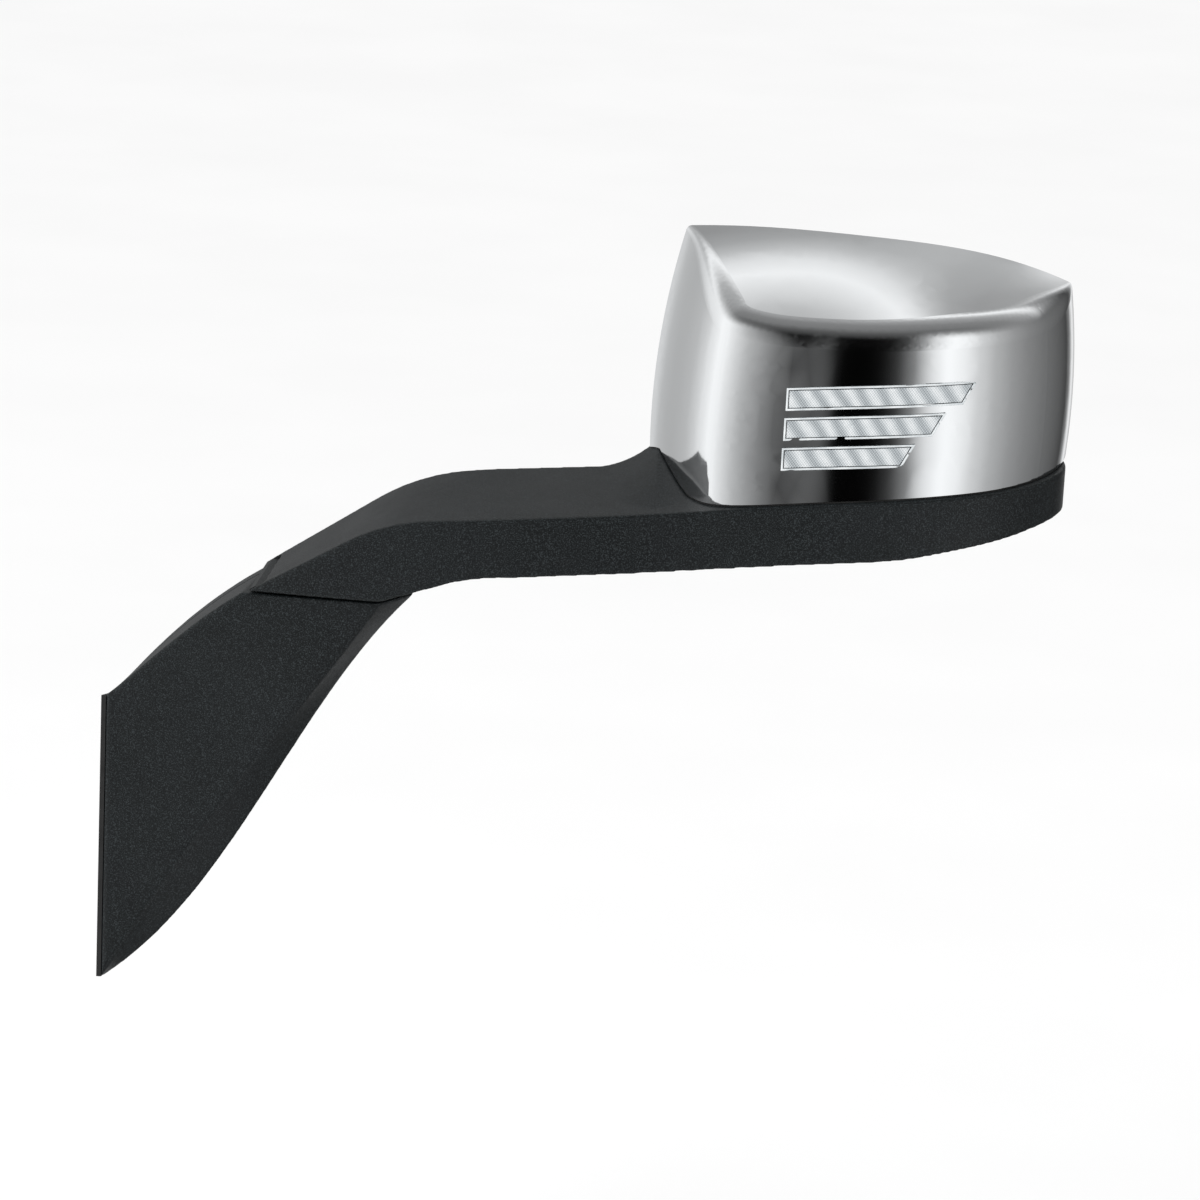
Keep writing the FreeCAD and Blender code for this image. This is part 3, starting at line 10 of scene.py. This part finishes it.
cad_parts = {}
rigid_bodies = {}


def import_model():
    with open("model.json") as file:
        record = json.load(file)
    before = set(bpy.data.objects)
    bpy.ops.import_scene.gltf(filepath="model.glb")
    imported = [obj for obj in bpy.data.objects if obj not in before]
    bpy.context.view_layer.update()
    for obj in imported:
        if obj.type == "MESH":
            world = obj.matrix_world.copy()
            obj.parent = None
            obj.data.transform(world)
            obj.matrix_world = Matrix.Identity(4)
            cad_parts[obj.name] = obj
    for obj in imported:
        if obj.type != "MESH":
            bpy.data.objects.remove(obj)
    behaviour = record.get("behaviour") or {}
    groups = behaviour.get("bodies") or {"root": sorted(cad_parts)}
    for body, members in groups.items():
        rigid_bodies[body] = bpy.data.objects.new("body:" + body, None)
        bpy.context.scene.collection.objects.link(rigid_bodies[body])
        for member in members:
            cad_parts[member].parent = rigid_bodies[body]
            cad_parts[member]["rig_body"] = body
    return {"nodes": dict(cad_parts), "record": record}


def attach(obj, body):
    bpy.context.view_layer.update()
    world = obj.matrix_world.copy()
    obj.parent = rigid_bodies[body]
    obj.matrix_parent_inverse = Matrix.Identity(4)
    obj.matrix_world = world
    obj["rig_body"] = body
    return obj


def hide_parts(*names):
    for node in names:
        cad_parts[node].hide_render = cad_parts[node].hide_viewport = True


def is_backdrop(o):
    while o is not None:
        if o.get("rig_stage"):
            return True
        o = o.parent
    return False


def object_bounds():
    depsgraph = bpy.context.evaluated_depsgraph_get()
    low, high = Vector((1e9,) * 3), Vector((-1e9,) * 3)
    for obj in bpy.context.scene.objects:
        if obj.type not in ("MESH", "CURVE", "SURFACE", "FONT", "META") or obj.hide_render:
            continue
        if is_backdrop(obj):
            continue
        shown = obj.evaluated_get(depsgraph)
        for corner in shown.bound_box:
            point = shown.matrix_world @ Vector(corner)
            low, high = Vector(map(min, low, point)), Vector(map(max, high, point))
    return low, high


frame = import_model()
nodes = frame["nodes"]
scene = bpy.context.scene
cad_low, cad_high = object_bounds()


# --- camera ------------------------------------------------------------------------------------------
AIM = Vector((0.316, 0.0, 0.166))
DISTANCE = 3.0
ELEVATION = math.radians(16)
ROLL = math.radians(2.8)
camera_data = bpy.data.cameras.new("camera")
camera_data.sensor_width = 36
camera_data.lens = 140.6
camera_data.clip_end = 40
camera = bpy.data.objects.new("camera", camera_data)
scene.collection.objects.link(camera)
turn = Matrix.Rotation(math.pi / 2 - ELEVATION, 4, "X") @ Matrix.Rotation(ROLL, 4, "Z")
place = AIM + DISTANCE * Vector((0, -math.cos(ELEVATION), math.sin(ELEVATION)))
camera.matrix_world = Matrix.Translation(place) @ turn
scene.camera = camera


# --- node helpers ------------------------------------------------------------------------------------
class Nodes:
    """Adds nodes to a material and links them by name."""

    def __init__(self, name):
        self.material = bpy.data.materials.new(name)
        self.material.use_nodes = True
        self.tree = self.material.node_tree
        self.shader = self.tree.nodes["Principled BSDF"]
        self.coords = self.add("ShaderNodeTexCoord").outputs["Object"]

    def add(self, kind, **values):
        node = self.tree.nodes.new(kind)
        for key, value in values.items():
            setattr(node, key, value)
        return node

    def link(self, source, target):
        self.tree.links.new(source, target)

    def set(self, **values):
        for key, value in values.items():
            self.shader.inputs[key.replace("_", " ")].default_value = value

    def noise(self, scale, detail=2.0, rough=0.5, vector=None):
        node = self.add("ShaderNodeTexNoise")
        node.inputs["Scale"].default_value = scale
        node.inputs["Detail"].default_value = detail
        node.inputs["Roughness"].default_value = rough
        self.link(vector or self.coords, node.inputs["Vector"])
        return node.outputs["Fac"]

    def cells(self, scale):
        node = self.add("ShaderNodeTexVoronoi")
        node.inputs["Scale"].default_value = scale
        self.link(self.coords, node.inputs["Vector"])
        return node.outputs["Distance"]

    def ramp(self, source, stops):
        node = self.add("ShaderNodeValToRGB")
        elements = node.color_ramp.elements
        while len(elements) < len(stops):
            elements.new(0.5)
        for element, (position, color) in zip(elements, stops):
            element.position = position
            element.color = (*color, 1) if isinstance(color, tuple) else (color, color, color, 1)
        self.link(source, node.inputs["Fac"])
        return node.outputs["Color"]

    def remap(self, source, low, high):
        node = self.add("ShaderNodeMapRange")
        node.inputs["To Min"].default_value = low
        node.inputs["To Max"].default_value = high
        self.link(source, node.inputs["Value"])
        return node.outputs["Result"]

    def math(self, operation, a, b):
        node = self.add("ShaderNodeMath", operation=operation)
        for slot, value in enumerate((a, b)):
            if isinstance(value, (int, float)):
                node.inputs[slot].default_value = value
            else:
                self.link(value, node.inputs[slot])
        return node.outputs["Value"]

    def bump(self, height, strength, distance, normal=None):
        node = self.add("ShaderNodeBump")
        node.inputs["Strength"].default_value = strength
        node.inputs["Distance"].default_value = distance
        self.link(height, node.inputs["Height"])
        if normal is not None:
            self.link(normal, node.inputs["Normal"])
        return node.outputs["Normal"]

    def finish(self, color=None, rough=None, normal=None):
        if color is not None:
            self.link(color, self.shader.inputs["Base Color"])
        if rough is not None:
            self.link(rough, self.shader.inputs["Roughness"])
        if normal is not None:
            self.link(normal, self.shader.inputs["Normal"])
        return self.material


def grained_black():
    """Moulded black plastic with a fine leather-like grain and a little pale dust specked over it."""
    n = Nodes("grained black plastic")
    n.set(Specular_IOR_Level=0.3)
    grain = n.noise(1500, 3, 0.6)
    pits = n.cells(1150)
    height = n.math("ADD", n.math("MULTIPLY", grain, 0.7), n.math("MULTIPLY", pits, 0.5))
    broad = n.noise(9, 3)
    speck = n.ramp(n.noise(1300, 2), [(0.50, 0.0), (0.68, 1.0)])
    base = n.ramp(broad, [(0.3, (0.0035, 0.0050, 0.0055)), (0.75, (0.0075, 0.0095, 0.0105))])
    mix = n.add("ShaderNodeMix", data_type="RGBA")
    n.link(speck, mix.inputs["Factor"])
    n.link(base, mix.inputs["A"])
    mix.inputs["B"].default_value = (0.030, 0.037, 0.040, 1)
    rough = n.remap(n.noise(30, 3), 0.38, 0.50)
    return n.finish(mix.outputs["Result"], rough, n.bump(height, 0.6, 0.00018))


def satin_black():
    """Smoother black plastic of the bezel and the inner frames."""
    n = Nodes("satin black plastic")
    color = n.ramp(n.noise(14, 3), [(0.3, (0.012, 0.012, 0.013)), (0.8, (0.022, 0.022, 0.024))])
    rough = n.remap(n.noise(45, 4), 0.26, 0.40)
    return n.finish(color, rough, n.bump(n.noise(900, 2), 0.12, 0.0001))


def inner_black():
    n = Nodes("inner plastic")
    color = n.ramp(n.noise(20, 3), [(0.3, (0.025, 0.025, 0.026)), (0.8, (0.045, 0.045, 0.047))])
    rough = n.remap(n.noise(60, 3), 0.45, 0.65)
    return n.finish(color, rough, n.bump(n.noise(500, 3), 0.15, 0.0001))


# A slight crown across the cap's front face: where it is highest, how far it runs each way, its height.
CROWN_X = 0.468
CROWN_INBOARD = 0.044
CROWN_OUTBOARD = 0.09
CROWN_TALL = 0.0036


def chrome():
    """Bright plating with the faint waviness of chromed plastic and slight haze."""
    n = Nodes("bright chrome")
    n.set(Metallic=1.0)
    color = n.ramp(n.noise(5, 2), [(0.3, (0.80, 0.815, 0.825)), (0.8, (0.86, 0.87, 0.875))])
    rough = n.remap(n.noise(40, 4), 0.05, 0.085)
    place = n.add("ShaderNodeSeparateXYZ")
    n.link(n.coords, place.inputs["Vector"])
    out = n.math("SUBTRACT", place.outputs["X"], CROWN_X)
    inboard = n.math("DIVIDE", n.math("MINIMUM", out, 0.0), CROWN_INBOARD)
    outboard = n.math("DIVIDE", n.math("MAXIMUM", out, 0.0), CROWN_OUTBOARD)
    fall = n.math("ADD", n.math("MULTIPLY", inboard, inboard), n.math("MULTIPLY", outboard, outboard))
    crown = n.math("EXPONENT", n.math("MULTIPLY", fall, -1.0), 0.0)
    wave = n.bump(n.noise(22, 1), 0.015, 0.002, n.bump(crown, 1.0, CROWN_TALL))
    return n.finish(color, rough, wave)


def rubber():
    n = Nodes("black rubber")
    color = n.ramp(n.noise(60, 3), [(0.3, (0.010, 0.010, 0.010)), (0.8, (0.022, 0.022, 0.022))])
    rough = n.remap(n.noise(90, 3), 0.6, 0.8)
    return n.finish(color, rough, n.bump(n.noise(800, 3), 0.3, 0.0001))


def metal(name, dark, light, low, high, scale=220, stretch=(1, 1, 1)):
    """Metal with a fine directional or cast surface."""
    n = Nodes(name)
    n.set(Metallic=1.0)
    mapping = n.add("ShaderNodeMapping")
    mapping.inputs["Scale"].default_value = stretch
    n.link(n.coords, mapping.inputs["Vector"])
    fine = n.noise(scale, 4, 0.6, mapping.outputs["Vector"])
    color = n.ramp(fine, [(0.3, dark), (0.75, light)])
    return n.finish(color, n.remap(fine, low, high), n.bump(fine, 0.2, 0.0002))


def acetal():
    n = Nodes("acetal")
    color = n.ramp(n.noise(70, 3), [(0.3, (0.62, 0.60, 0.54)), (0.8, (0.72, 0.70, 0.65))])
    return n.finish(color, n.remap(n.noise(200, 3), 0.35, 0.5), n.bump(n.noise(700, 2), 0.1, 0.0001))


def mirror():
    """Silvered glass: near-perfect reflection with the faintest smudges."""
    n = Nodes("mirror glass")
    n.set(Metallic=1.0)
    color = n.ramp(n.noise(6, 3), [(0.3, (0.80, 0.83, 0.84)), (0.8, (0.84, 0.86, 0.87))])
    rough = n.remap(n.noise(35, 5), 0.012, 0.04)
    return n.finish(color, rough, n.bump(n.noise(12, 1), 0.004, 0.001))


def lens():
    """Clear ribbed lens over a pale reflector: fine crossed prisms, and soft slanted cells of painted light,
    bright glints of the reflector painted into its colour.
    """
    n = Nodes("ribbed clear lens")
    n.set(Transmission_Weight=0.12, IOR=1.49, Coat_Weight=0.5, Coat_Roughness=0.08)

    def bands(angle, scale, distortion=0.0):
        mapping = n.add("ShaderNodeMapping")
        mapping.inputs["Rotation"].default_value = (0, math.radians(angle), 0)
        n.link(n.coords, mapping.inputs["Vector"])
        wave = n.add("ShaderNodeTexWave", bands_direction="X")
        wave.inputs["Scale"].default_value = scale
        wave.inputs["Distortion"].default_value = distortion
        n.link(mapping.outputs["Vector"], wave.inputs["Vector"])
        return wave.outputs["Fac"]

    ribs = bands(-42, 255)
    crossed = bands(38, 225)
    prisms = n.math("MULTIPLY", n.math("ADD", ribs, crossed), 0.5)
    uneven = n.math("ADD", 0.55, n.math("MULTIPLY", n.noise(160, 2), 0.6))
    # painted light: soft slanted bright cells painted into the lens colour as glints of the reflector
    cells = n.math("MULTIPLY", bands(33, 27, 1.5), uneven)
    light = n.math("ADD", n.math("MULTIPLY", prisms, 0.50), n.math("MULTIPLY", cells, 0.50))
    # the colour mixes the ribbed texture with the painted glints of light
    rib_and_painted_glint_shades = [(0.10, (0.28, 0.31, 0.33)), (0.45, (0.58, 0.62, 0.64)), (0.85, (0.93, 0.95, 0.96))]
    color = n.ramp(light, rib_and_painted_glint_shades)
    rough = n.remap(prisms, 0.16, 0.34)
    return n.finish(color, rough, n.bump(prisms, 0.5, 0.00025))


def lens_rim():
    """Clear polished edge of a lens, painted pale all round as its edge highlight."""
    n = Nodes("clear lens edge")
    n.set(Coat_Weight=0.8, Coat_Roughness=0.05)
    # painted highlight: the rim's pale colour stands for light caught along a clear edge
    color = n.ramp(n.noise(90, 3), [(0.3, (0.55, 0.59, 0.61)), (0.7, (0.86, 0.89, 0.90))])
    return n.finish(color, n.remap(n.noise(200, 2), 0.08, 0.18), n.bump(n.noise(260, 2), 0.15, 0.0002))


def circuit():
    n = Nodes("white circuit board")
    color = n.ramp(n.noise(300, 3), [(0.3, (0.66, 0.68, 0.68)), (0.8, (0.78, 0.80, 0.80))])
    return n.finish(color, n.remap(n.noise(100, 2), 0.3, 0.45), n.bump(n.cells(260), 0.2, 0.0001))


def led():
    n = Nodes("led resin")
    color = n.ramp(n.noise(400, 2), [(0.3, (0.80, 0.74, 0.42)), (0.8, (0.92, 0.88, 0.60))])
    return n.finish(color, n.remap(n.noise(200, 2), 0.15, 0.3), n.bump(n.noise(600, 2), 0.1, 0.0001))


FINISHES = {
    "black_grained": grained_black(),
    "black_smooth": satin_black(),
    "inner_plastic": inner_black(),
    "chrome": chrome(),
    "rubber": rubber(),
    "friction": acetal(),
    "steel": metal("zinc plated steel", (0.42, 0.43, 0.42), (0.62, 0.62, 0.60), 0.28, 0.42),
    "casting": metal("die casting", (0.36, 0.37, 0.38), (0.52, 0.53, 0.54), 0.42, 0.6, 420),
    "lens": lens(),
    "circuit": circuit(),
    "led": led(),
    "mirror": mirror(),
    "heater": inner_black(),
    "brass": metal("brass", (0.55, 0.40, 0.16), (0.72, 0.55, 0.26), 0.25, 0.4),
}
for entry in frame["record"]["subparts"]:
    mesh = nodes[entry["node"]].data
    for index in range(len(mesh.materials)):
        mesh.materials[index] = FINISHES[entry["material_slot"]]


# --- soft-edged covers -------------------------------------------------------------------------------
def relax(mesh, rounds, share=0.5):
    """Moves each vertex towards the middle of its neighbours, which rounds edges and keeps flats flat."""
    count = len(mesh.vertices)
    points = np.empty(count * 3)
    mesh.vertices.foreach_get("co", points)
    points = points.reshape(-1, 3)
    edges = np.empty(len(mesh.edges) * 2, dtype=np.int64)
    mesh.edges.foreach_get("vertices", edges)
    a, b = edges[::2], edges[1::2]
    degree = np.bincount(a, minlength=count) + np.bincount(b, minlength=count)
    for _ in range(rounds):
        total = np.empty_like(points)
        for axis in range(3):
            total[:, axis] = np.bincount(a, points[b, axis], count) + np.bincount(b, points[a, axis], count)
        points += share * (total / degree[:, None] - points)
    mesh.vertices.foreach_set("co", points.ravel())
    mesh.update()


def soften(name, voxel, rounds):
    """A cover with rounded edges in place of a sharp-edged node."""
    source = nodes[name]
    cover = bpy.data.objects.new(name + "_soft", source.data.copy())
    scene.collection.objects.link(cover)
    remesh = cover.modifiers.new("remesh", "REMESH")
    remesh.mode = "VOXEL"
    remesh.voxel_size = voxel
    remesh.use_smooth_shade = True
    depsgraph = bpy.context.evaluated_depsgraph_get()
    mesh = bpy.data.meshes.new_from_object(cover.evaluated_get(depsgraph))
    cover.modifiers.clear()
    cover.data = mesh
    relax(mesh, rounds)
    mesh.materials.clear()
    mesh.materials.append(FINISHES["black_grained"])
    for polygon in mesh.polygons:
        polygon.use_smooth = True
    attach(cover, source["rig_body"])
    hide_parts(name)


COVER_VOXEL = 0.0011
COVER_ROUNDS = 7
for cover_name in ("arm_cover_upper", "base_cover_front", "base_cover_rear"):
    soften(cover_name, COVER_VOXEL, COVER_ROUNDS)


# --- light bars --------------------------------------------------------------------------------------
def outline_of(node):
    """Corners of a bar's front face, in order as seen from the front; its slanted end is at the right."""
    points = [v.co for v in nodes[node].data.vertices]

    def corner(a, b):
        return max(points, key=lambda p: a * p.x + b * p.z)

    return [corner(-1, -3), corner(3, -4), corner(4, 1), corner(-3, 4)]


def lens_surface(node):
    """Function that gives the lens's front y at (x, z), from the nearest vertices of its front face."""
    points = np.array([v.co for v in nodes[node].data.vertices])

    def front(x, z):
        gap = (points[:, 0] - x) ** 2 + (points[:, 2] - z) ** 2
        near = points[np.argsort(gap)[:8]]
        return float(near[:, 1].min())

    return front


def inset_corners(corners, gap):
    """The corners of a convex outline moved in by a gap."""
    lines = []
    for a, b in zip(corners, corners[1:] + corners[:1]):
        along = (b - a).normalized()
        inward = Vector((-along.y, along.x))
        lines.append((a + inward * gap, along))
    moved = []
    for (p, d), (q, e) in zip(lines[-1:] + lines[:-1], lines):
        cross = d.x * e.y - d.y * e.x
        t = ((q.x - p.x) * e.y - (q.y - p.y) * e.x) / cross
        moved.append(p + d * t)
    return moved


RIM_GAP = 0.00012
RIM_WIDE = 0.0013
RIM_TALL = 0.0007
RIM_STEPS = 26
# Section of a rim: share of its width from the outside, and rise towards the front as a share of its height.
RIM_SECTION = [(0.0, 0.0002), (0.12, -0.7), (0.5, -1.0), (0.88, -0.7), (1.0, 0.3)]


def raised_rim(name, node, material):
    """A low rounded frame that follows the edge of a lens."""
    corners = [Vector((p.x, p.z)) for p in outline_of(node)]
    front = lens_surface(node)
    mesh = bpy.data.meshes.new(name)
    build = bmesh.new()
    rings = []
    loops = [inset_corners(corners, RIM_GAP + RIM_WIDE * share) for share, _ in RIM_SECTION]
    for side in range(4):
        for step in range(RIM_STEPS):
            share = step / RIM_STEPS
            ring = []
            for (_, rise), loop in zip(RIM_SECTION, loops):
                p = loop[side].lerp(loop[(side + 1) % 4], share)
                ring.append(build.verts.new((p.x, front(p.x, p.y) + rise * RIM_TALL, p.y)))
            rings.append(ring)
    for ring, after in zip(rings, rings[1:] + rings[:1]):
        for k in range(len(RIM_SECTION) - 1):
            build.faces.new((ring[k], ring[k + 1], after[k + 1], after[k]))
    bmesh.ops.recalc_face_normals(build, faces=build.faces)
    build.to_mesh(mesh)
    build.free()
    for polygon in mesh.polygons:
        polygon.use_smooth = True
    rim = bpy.data.objects.new(name, mesh)
    scene.collection.objects.link(rim)
    mesh.materials.append(material)
    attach(rim, "arm")


# the rims carry a painted highlight in their pale colour
painted_highlight_rim_finish = lens_rim()
for bar in ("upper", "middle", "lower"):
    raised_rim("lens_rim_" + bar, "lamp_lens_" + bar, painted_highlight_rim_finish)


# --- studio ------------------------------------------------------------------------------------------
CHROME_LOSS = 1.18


def shade(value):
    """Light of a panel that a chromed face shows at that share of white, by the usual display curve."""
    return CHROME_LOSS * ((value + 0.055) / 1.055) ** 2.4


# What stands round the object, by azimuth in degrees from the front (positive towards +X).
PANELS = [
    (-180, 0.58), (-152, 0.64), (-135, 0.72), (-118, 0.88), (-90, 0.97), (-63, 0.95), (-40, 0.86),
    (-27, 0.78), (-13, 0.63), (-7, 0.49), (-3.8, 0.38), (-2.6, 0.26), (-1.4, 0.06), (0, 0.0), (5, 0.0),
    (8, 0.06), (12, 0.22), (17, 0.50), (22, 0.86), (27.4, 1.0), (32.5, 0.94), (39, 0.81), (51, 0.68),
    (68, 0.58), (86, 0.50), (105, 0.43), (129, 0.34), (141, 0.26), (148, 0.50), (156, 0.90), (168, 0.66),
    (180, 0.58),
]
# What hangs above it, by angle from the front horizon over the top to the rear horizon.
CEILING = [
    (0, 0.0), (21, 0.08), (35, 0.28), (50, 0.34), (66, 0.46), (82, 0.50), (98, 0.60), (106, 0.68),
    (112, 0.84), (118, 0.95), (122, 0.88), (126, 0.74), (130, 0.64), (137, 0.57), (150, 0.56), (180, 0.58),
]


def ramp_node(tree, source, stops):
    node = tree.nodes.new("ShaderNodeValToRGB")
    elements = node.color_ramp.elements
    while len(elements) < len(stops):
        elements.new(0.5)
    for element, (position, value) in zip(elements, stops):
        element.position = position
        element.color = (shade(value), shade(value) * 1.004, shade(value) * 1.008, 1)
    tree.links.new(source, node.inputs["Fac"])
    return node.outputs["Color"]


# Elevations between which the view changes from the panels to what hangs above.
PANELS_END = math.radians(22)
CEILING_START = math.radians(58)


def studio_world():
    """White light all round; a glossy surface sees the panels and the ceiling instead."""
    world = bpy.data.worlds.new("studio")
    scene.world = world
    world.use_nodes = True
    tree = world.node_tree
    background = tree.nodes["Background"]

    def math_node(operation, a, b=0.0, c=0.0):
        node = tree.nodes.new("ShaderNodeMath")
        node.operation = operation
        for slot, value in enumerate((a, b, c)):
            if isinstance(value, (int, float)):
                node.inputs[slot].default_value = value
            else:
                tree.links.new(value, node.inputs[slot])
        return node.outputs["Value"]

    split = tree.nodes.new("ShaderNodeSeparateXYZ")
    direction = tree.nodes.new("ShaderNodeTexCoord").outputs["Generated"]
    tree.links.new(direction, split.inputs["Vector"])
    x, y, z = (split.outputs[name] for name in "XYZ")
    front = math_node("MULTIPLY", y, -1.0)
    azimuth = math_node("MULTIPLY_ADD", math_node("ARCTAN2", x, front), 0.5 / math.pi, 0.5)
    panels = ramp_node(tree, azimuth, [((angle + 180) / 360, value) for angle, value in PANELS])
    over = math_node("MULTIPLY", math_node("ARCTAN2", z, front), 1 / math.pi)
    ceiling = ramp_node(tree, over, [(angle / 180, value) for angle, value in CEILING])
    height = tree.nodes.new("ShaderNodeMapRange")
    height.interpolation_type = "SMOOTHSTEP"
    height.inputs["From Min"].default_value = math.sin(PANELS_END)
    height.inputs["From Max"].default_value = math.sin(CEILING_START)
    tree.links.new(z, height.inputs["Value"])
    mix = tree.nodes.new("ShaderNodeMix")
    mix.data_type = "RGBA"
    tree.links.new(height.outputs["Result"], mix.inputs["Factor"])
    tree.links.new(panels, mix.inputs["A"])
    tree.links.new(ceiling, mix.inputs["B"])
    rays = tree.nodes.new("ShaderNodeLightPath")
    seen = tree.nodes.new("ShaderNodeMix")
    seen.data_type = "RGBA"
    tree.links.new(rays.outputs["Is Glossy Ray"], seen.inputs["Factor"])
    seen.inputs["A"].default_value = (1, 1, 1, 1)
    tree.links.new(mix.outputs["Result"], seen.inputs["B"])
    tree.links.new(seen.outputs["Result"], background.inputs["Color"])


def lamp(name, place, aim, side, power):
    data = bpy.data.lights.new(name, "AREA")
    data.shape = "SQUARE"
    data.size = side
    data.energy = power
    item = bpy.data.objects.new(name, data)
    scene.collection.objects.link(item)
    item.location = place
    item.rotation_euler = (Vector(aim) - Vector(place)).to_track_quat("-Z", "Y").to_euler()
    item.visible_glossy = False
    item.visible_camera = False


studio_world()
lamp("key", (-1.2, -1.6, 1.9), (0.3, 0, 0.1), 1.2, 22)

FLOOR_REACH = 20
FLOOR_Z = -0.5
floor_sides = ((-1, -1), (1, -1), (1, 1), (-1, 1))
floor_corners = [(x * FLOOR_REACH, y * FLOOR_REACH, FLOOR_Z) for x, y in floor_sides]
floor_mesh = bpy.data.meshes.new("floor")
floor_mesh.from_pydata(floor_corners, [], [(0, 1, 2, 3)])
floor = bpy.data.objects.new("floor", floor_mesh)
scene.collection.objects.link(floor)
floor_finish = Nodes("pale floor")
floor_finish.set(Specular_IOR_Level=0.0)
floor_color = floor_finish.ramp(floor_finish.noise(3, 2), [(0.3, 0.93), (0.7, 0.95)])
floor_mesh.materials.append(floor_finish.finish(floor_color))
floor.visible_glossy = False
floor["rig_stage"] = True
scene.view_settings.view_transform = "Standard"

size = {"cad_low": list(cad_low), "cad_high": list(cad_high)}
low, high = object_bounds()
size["low"], size["high"] = list(low), list(high)
